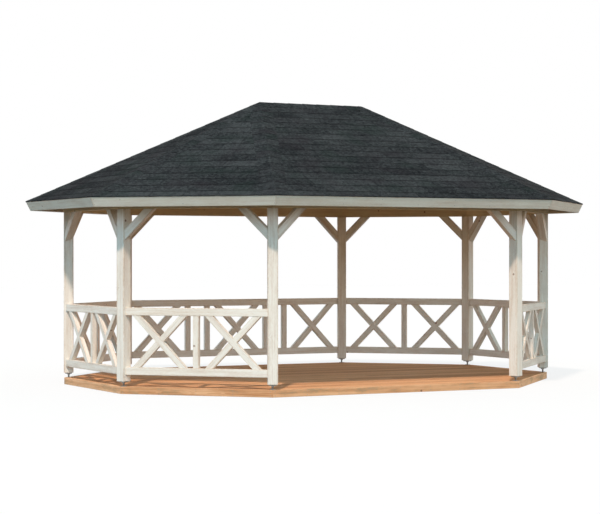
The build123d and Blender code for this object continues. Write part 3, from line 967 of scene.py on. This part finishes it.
def tabs(side):
    """All tabs of a slope: each from a to b along the eave and from low to high up the slope.

    A tab that has curled lifts its lower edge a little more or less, and each slope's tabs are
    made a little lighter or darker as painted light and shade.
    """
    courses = 1 + int(np.ceil((slope_length + shingle_overhang - first_exposure) / exposure))
    table = []
    for course in range(courses):
        low = max(first_exposure + (course - 1) * exposure, 0) - shingle_overhang
        high = min(low + exposure + lap, slope_length - peak_gap)
        reach = slope_half(side, low)
        shift = ((course * 0.5) % 1) * tab_width + chance.uniform(-shift_play, shift_play)
        first = -np.ceil(reach / tab_width) * tab_width + shift - tab_width
        for i, a in enumerate(np.arange(first, reach, tab_width)):
            if i % tabs_to_a_strip == 0:
                strip_tone = chance.uniform(0, 1)
            if a + tab_width > -reach and high - low > least_height:
                uneven = chance.uniform(-course_play, course_play) * (course > 0)
                tone = strip_share * strip_tone + (1 - strip_share) * chance.uniform(0, 1)
                # tone plus the painted light and shade of the slope
                table.append((a + tab_gap / 2, a + tab_width - tab_gap / 2, low + uneven, high,
                              tone + PAINTED_SLOPE_SHADE[side], chance.uniform(-curl_play, curl_play)))
    a, b, low, high, tone, curl = np.array(table).T
    lift = tab_lift + curl
    corners = []
    for at_low, at_high in ((lift - sheet_thickness, tab_seat), (lift, sheet_thickness)):
        for along, up, height, left in ((a, low, at_low, True), (b, low, at_low, False),
                                        (b, high, at_high, False), (a, high, at_high, True)):
            half = slope_half(side, up) - hip_clearance
            least, most = (-half, half - least_tab) if left else (least_tab - half, half)
            corners.append((np.clip(along, least, most), up, height + 0 * lift))
    corners = np.array(corners)
    wide = corners[1, 0] - corners[0, 0] > 2 * least_tab
    return slabs(side, corners[:, :, wide], tone[wide])


# %% The felt of a slope
felt_bottom, felt_top, felt_inset = 0.0002, 0.0012, 0.002


def felt(side):
    """The sheet under the tabs: one slab as large as the slope, 1 mm thick."""
    low, high = felt_inset - shingle_overhang, slope_length - felt_inset
    wide, narrow = slope_half(side, low) - 2 * hip_clearance, slope_half(side, high) - hip_clearance
    outline = [(-wide, low), (wide, low), (narrow, high), (-narrow, high)]
    corners = [(along, up, height) for height in (felt_bottom, felt_top) for along, up in outline]
    return slabs(side, np.array(corners)[:, :, None], np.zeros(1))


# %% [markdown]
# The finish of a shingle is crushed slate pressed into bitumen: dark grey grains, some of them
# greenish or violet, with a coarse mottle where the factory mixes two shades, and a tone for each
# tab.  The pattern reads the slope's own coordinates, so that it lies flat on every slope.  Painted
# shade darkens each tab and cap towards its lower edge, and values below 0 paint a faint light
# line along the fold of a cap, a painted highlight.

# %% The shingle finish
def shingle_finish():
    """Dark grit: light = tab's tone + mottle + drift + coarse and fine grains, tinted in places,
    with painted shade and highlight.
    """
    finish = Shader(bpy.data.materials.new("bitumen_shingles_charcoal"))
    place = finish.read("grain", "Vector")
    tone, wear = finish.read("tone"), finish.read("wear")
    speck, bead = finish.cells(place, 380.0), finish.cells(place, 380.0, "Distance")
    stir = finish.vector("MULTIPLY", finish.noise(place, 40.0, out="Color"), (0.03, 0.03, 0.03))
    patch = finish.cells(finish.vector("ADD", place, stir), 48.0)
    mottle, drift = finish.noise(place, 15.0, 4.0, 0.75), finish.noise(place, 1.6)
    hue = finish.noise(finish.vector("ADD", place, (5.0, 9.0, 2.0)), 2.4)
    light = 0.45 + (tone - 0.5) * 0.50 + (mottle - 0.5) * 1.1 + (drift - 0.5) * 0.6
    light = light + (patch - 0.5) * 0.55 + (speck - 0.5) * 0.35
    base = finish.blend(light, linear(24, 27, 30), linear(66, 70, 72))
    # Painted highlight: a faint lighter line along the fold of a cap, patchy with the mottle
    painted_crest_highlight = finish.band(wear, -0.2, -1.0) * finish.band(mottle, 0.35, 0.65)
    for share, tint in ((finish.band(hue, 0.5, 0.75) * 0.40, (42, 38, 43)),
                        (finish.band(hue, 0.48, 0.3) * 0.35, (32, 44, 41)),
                        # painted shade near the lower edge of every tab and cap
                        (finish.band(wear, 0.86, 1.0) * 0.55, (14, 16, 18)),
                        # painted highlight along the fold of a cap
                        (painted_crest_highlight * 0.10, (92, 97, 100))):
        base = finish.blend(share, base, linear(*tint))
    grit = finish.relief((1 - bead) * 0.6 + patch * 0.4, strength=0.5, distance=0.0012)
    return finish.done(Base_Color=base, Roughness=0.90 + (speck - 0.5) * 0.15,
                       Specular_IOR_Level=0.01, Normal=grit)


SHINGLE = shingle_finish(), "bitumen_shingle"
for side, label in enumerate(SIDES):
    piece("shingle_courses_" + label, [felt(side), tabs(side)], SHINGLE, "shingles_" + label)

# %% [markdown]
# ## Hip and ridge caps
# A cap is a tab folded over the break between two slopes and nailed so that each one laps the
# one below.  Across the break it is a bent strip: two wings, and a fold that stays a little
# rounded because bitumen doesn't take a sharp crease.  Carried up the hip in steps, it gives the
# row of short scales that runs up every hip.  The lowest cap is cut to the eave, and near the top,
# where two hips draw together, each wing is cut to the middle line of the slope between them.

# %% Caps along a line
cap_wing, cap_step, cap_lap, cap_thickness = 0.150, 0.200, 0.030, 0.003
cap_fold, cap_edge = (0.0132, 0.0098), (0.0076, 0.0042)      # height at the low and the high end
ACROSS = np.array([-1.0, -0.55, -0.12, -0.05, 0.0, 0.05, 0.12, 0.55, 1.0])
FOLD = [0.0, 0.05, 0.12]
ROUNDED = np.interp(np.abs(ACROSS), FOLD, [0.0012, 0.0005, 0.0])
# Painted highlight across a cap: below 0 at the fold, 0 on the wings
PAINTED_CREST_HIGHLIGHT = np.interp(np.abs(ACROSS), FOLD, [-1.0, -0.5, 0.0])
NO_NARROWING = 100.0             # for a slope so wide that no cap on it has to be cut
SHADE_AT_THE_LAP = 0.94, 0.0     # painted shade on a cap's wings, at its low and at its high end
CAP_TONES = 0.3, 0.7             # from the least to the greatest tone of a cap
CAP_PATTERN = 30, 3.0            # how far apart caps may lie in the pattern, and its depth there


def caps(start, end, wings, narrowing, trim=0.0):
    """Row of folded caps from start up to end.

    With s along the fold and t from -1 to 1 across it, a point is
    start + s x line + |t| x width x wing + height x normal.  The width is cap_wing, or less: what
    is left of the line x narrowing.  s is at least |t| x width x trim less the overhang.
    """
    length = np.linalg.norm(end - start)
    line = (end - start) / length
    normal = unit(np.cross(wings[1], line) - np.cross(wings[0], line))
    normal = normal * np.sign(normal[2])
    first = np.arange(0, length - cap_lap, cap_step)
    along = np.stack([first, np.minimum(first + cap_step + cap_lap, length)], 1)[:, :, None]
    hand = (ACROSS > 0).astype(int)
    width = np.minimum(cap_wing, (length - along) * np.array(narrowing)[hand] + least_tab)
    reach = np.abs(ACROSS) * width
    along = np.maximum(along, reach * trim - shingle_overhang)
    fold, edge = (np.array(height)[:, None] for height in (cap_fold, cap_edge))
    height = fold + (edge - fold) * np.abs(ACROSS) - ROUNDED
    top = start + along[..., None] * line + reach[..., None] * np.array(wings)[hand] \
        + (height + 0 * along)[..., None] * normal
    points = np.stack([top - cap_thickness * normal, top], 2)          # cap, end, skin, across

    count, n = len(first), len(ACROSS)
    i = np.arange(n - 1)
    strips = [np.stack([a * n + i, a * n + i + 1, b * n + i + 1, b * n + i], -1)
              for a, b in ((1, 3), (2, 0), (0, 1), (3, 2))]
    ends = np.array([(0, n, 3 * n, 2 * n), (n - 1, 3 * n - 1, 4 * n - 1, 2 * n - 1)])
    faces = (np.arange(count)[:, None, None] * 4 * n + np.vstack(strips + [ends])).reshape(-1, 4)
    place = chance.uniform(0, CAP_PATTERN[0], (count, 1, 1, 1))
    grain = np.stack(np.broadcast_arrays(ACROSS * cap_wing + place, along[:, :, None, :],
                                         CAP_PATTERN[1] + 0 * place), -1)
    grain = np.broadcast_to(grain, (count, 2, 2, n, 3))
    # Painted shade at a cap's low end, and a painted highlight (below 0) along its fold
    wear = np.array(SHADE_AT_THE_LAP)[:, None, None] * (np.abs(ACROSS) >= FOLD[-1]) + PAINTED_CREST_HIGHLIGHT
    wear = np.broadcast_to(wear, (count, 2, 2, n))
    tone = np.repeat(chance.uniform(*CAP_TONES, count), 4 * n)
    return Part(points.reshape(-1, 3), [faces], grain.reshape(-1, 3), wear.ravel(), tone)


# %% Make the caps
peak = UP * peak_level
cap_rows = []
for k in range(8):
    top, bottom = hub_at[k] + peak, hub_at[k] + corner_out[k] * eave_run + UP * eave_level
    line = unit(top - bottom)
    wings, narrowing = [], []
    for side, hand in (((k - 1) % 8, -1), (k, 1)):
        wing = hand * sideways[side]
        wings.append(unit(wing - line * (wing @ line)))
        lean = abs(line @ sideways[side]) / (line @ up_slope[side])
        narrowing.append(NO_NARROWING if side in LONG_SIDES else lean)
    cap_rows.append(caps(bottom, top, wings, narrowing, lean))
cap_rows.append(caps(peak - X * ridge_half, peak + X * ridge_half,
                     [-up_slope[BACK], -up_slope[FRONT]], [NO_NARROWING, NO_NARROWING]))
piece("hip_and_ridge_caps", cap_rows, SHINGLE, "ridge_and_hip_caps")

# %% [markdown]
# ## Light, floor and camera
# The light is a broad sun from the front left, high enough that the eaves throw their shade on
# the beams, and a hazy sky.  The sky is warm and a little dimmer right at the horizon, brightest
# from 8 to 16 degrees above it, and bluer and dimmer higher up.  That low light comes in under the
# eaves and reaches the inner faces of the railings.  It is warmer to the right and to the back
# than to the left and to the front.
#
# Where the camera, a reflection or a clear thing looks straight at the floor or the sky, Light
# Path shows it white instead, so that the background doesn't depend on how strong the light is.
# The floor keeps a part of its own shade, and with it the shadow.  Light that leaves the floor
# for the timbers is weak, as it is over grass.

# %% Sky
WHITE, SKY_STRENGTH = (1.0, 1.0, 1.0, 1.0), 1.75
SKY = [(0.00, (0.71, 0.51, 0.34)), (0.05, (0.76, 0.57, 0.41)), (0.14, (0.92, 0.80, 0.76)),
       (0.28, (0.92, 0.84, 0.93)), (0.36, (0.39, 0.59, 0.66)), (0.62, (0.37, 0.57, 0.64)),
       (0.72, (0.20, 0.28, 0.29))]                             # height and colour
TO_THE_RIGHT, TO_THE_BACK = (0.26, 0.03, -0.11), (0.13, -0.07, -0.14)


def shown_straight(shader):
    """1 for camera, glossy and transmission rays, else 0."""
    camera, glossy, clear = (shader.node("ShaderNodeLightPath", {}, {}, f"Is {kind} Ray")
                             for kind in ("Camera", "Glossy", "Transmission"))
    return shader.math("MAXIMUM", shader.math("MAXIMUM", camera, glossy), clear)


sky = Shader(bpy.data.worlds.new("sky"))
bpy.context.scene.world = sky.owner
direction = sky.node("ShaderNodeTexCoord", {}, {}, "Generated")
to_right, to_back, height = (sky.node("ShaderNodeSeparateXYZ", {}, {"Vector": direction}, axis)
                             for axis in "XYZ")
lean = (1.0, 1.0, 1.0)
for amount, change in ((to_right, TO_THE_RIGHT), (to_back, TO_THE_BACK)):
    change = sky.node("ShaderNodeVectorMath", {"operation": "SCALE"}, {0: change, "Scale": amount})
    lean = sky.vector("ADD", lean, change)
ramp = sky.node("ShaderNodeValToRGB", {"stops": SKY}, {"Fac": height})
colour = sky.vector("MULTIPLY", lean, ramp)
lighting = sky.node("ShaderNodeBackground", {}, {"Color": colour, "Strength": SKY_STRENGTH})
backdrop = sky.node("ShaderNodeBackground", {}, {"Color": WHITE, "Strength": 1.0})
sky.close("World", sky.either(shown_straight(sky), lighting, backdrop))

# %% Floor
FLOOR_COLOUR, FLOOR_BOUNCE, FLOOR_SHARE = 0.80, 0.08, 0.80
floor_half, floor_level = 60.0, -0.0005
floor_shader = Shader(bpy.data.materials.new("pale_floor"))
pale, bounce = (floor_shader.node("ShaderNodeBsdfDiffuse", {}, {"Color": (*[light] * 3, 1.0)})
                for light in (FLOOR_COLOUR, FLOOR_BOUNCE))
glow = floor_shader.node("ShaderNodeEmission", {}, {"Color": WHITE, "Strength": 1.0})
seen = floor_shader.either(FLOOR_SHARE, pale, glow)
floor_shader.close("Material", floor_shader.either(shown_straight(floor_shader), bounce, seen))

floor_corners = [(x * floor_half, y * floor_half, floor_level)
                 for x, y in ((-1, -1), (1, -1), (1, 1), (-1, 1))]
floor_mesh = bpy.data.meshes.new("floor")
floor_mesh.from_pydata(floor_corners, [], [(0, 1, 2, 3)])
floor_mesh.materials.append(floor_shader.owner)
floor = bpy.data.objects.new("floor", floor_mesh)
bpy.context.scene.collection.objects.link(floor)
floor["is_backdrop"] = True

# %% Sun and camera
SUN_BEARING, SUN_HEIGHT, SUN_WIDTH, SUN_DISTANCE = 36.8, 51.6, 3.5, 12
SUN_STRENGTH, SUN_COLOUR = 2.78, (1.0, 0.80, 0.68)
CAMERA_BEARING, CAMERA_TILT, CAMERA_AT = 27.36, -0.07, (-11.004, -20.963, 1.593)


def towards(bearing, height):
    """Direction at a bearing from +Y towards +X and a height above the level, in degrees."""
    turn, lift = np.radians(bearing), np.radians(height)
    return Vector((np.sin(turn) * np.cos(lift), np.cos(turn) * np.cos(lift), np.sin(lift)))


def stand(name, data, location, facing):
    """Puts a light or a camera in the scene, facing along a direction."""
    stood = bpy.data.objects.new(name, data)
    stood.location, stood.rotation_euler = location, facing.to_track_quat("-Z", "Y").to_euler()
    bpy.context.scene.collection.objects.link(stood)
    return stood


sun_data = bpy.data.lights.new("sun", "SUN")
sun_data.energy, sun_data.angle, sun_data.color = SUN_STRENGTH, np.radians(SUN_WIDTH), SUN_COLOUR
travel = towards(SUN_BEARING, -SUN_HEIGHT)
stand("sun", sun_data, -travel * SUN_DISTANCE, travel)

camera_data = bpy.data.cameras.new("camera")
camera_data.lens, camera_data.sensor_width, camera_data.clip_end = 112.78, 36.0, 200.0
camera = stand("camera", camera_data, CAMERA_AT, towards(CAMERA_BEARING, CAMERA_TILT))
bpy.context.scene.camera = camera
bpy.context.scene.view_settings.view_transform = "Standard"

# %% Sizes, and the end
low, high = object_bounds()
print("visual model from", low[:], "to", high[:])
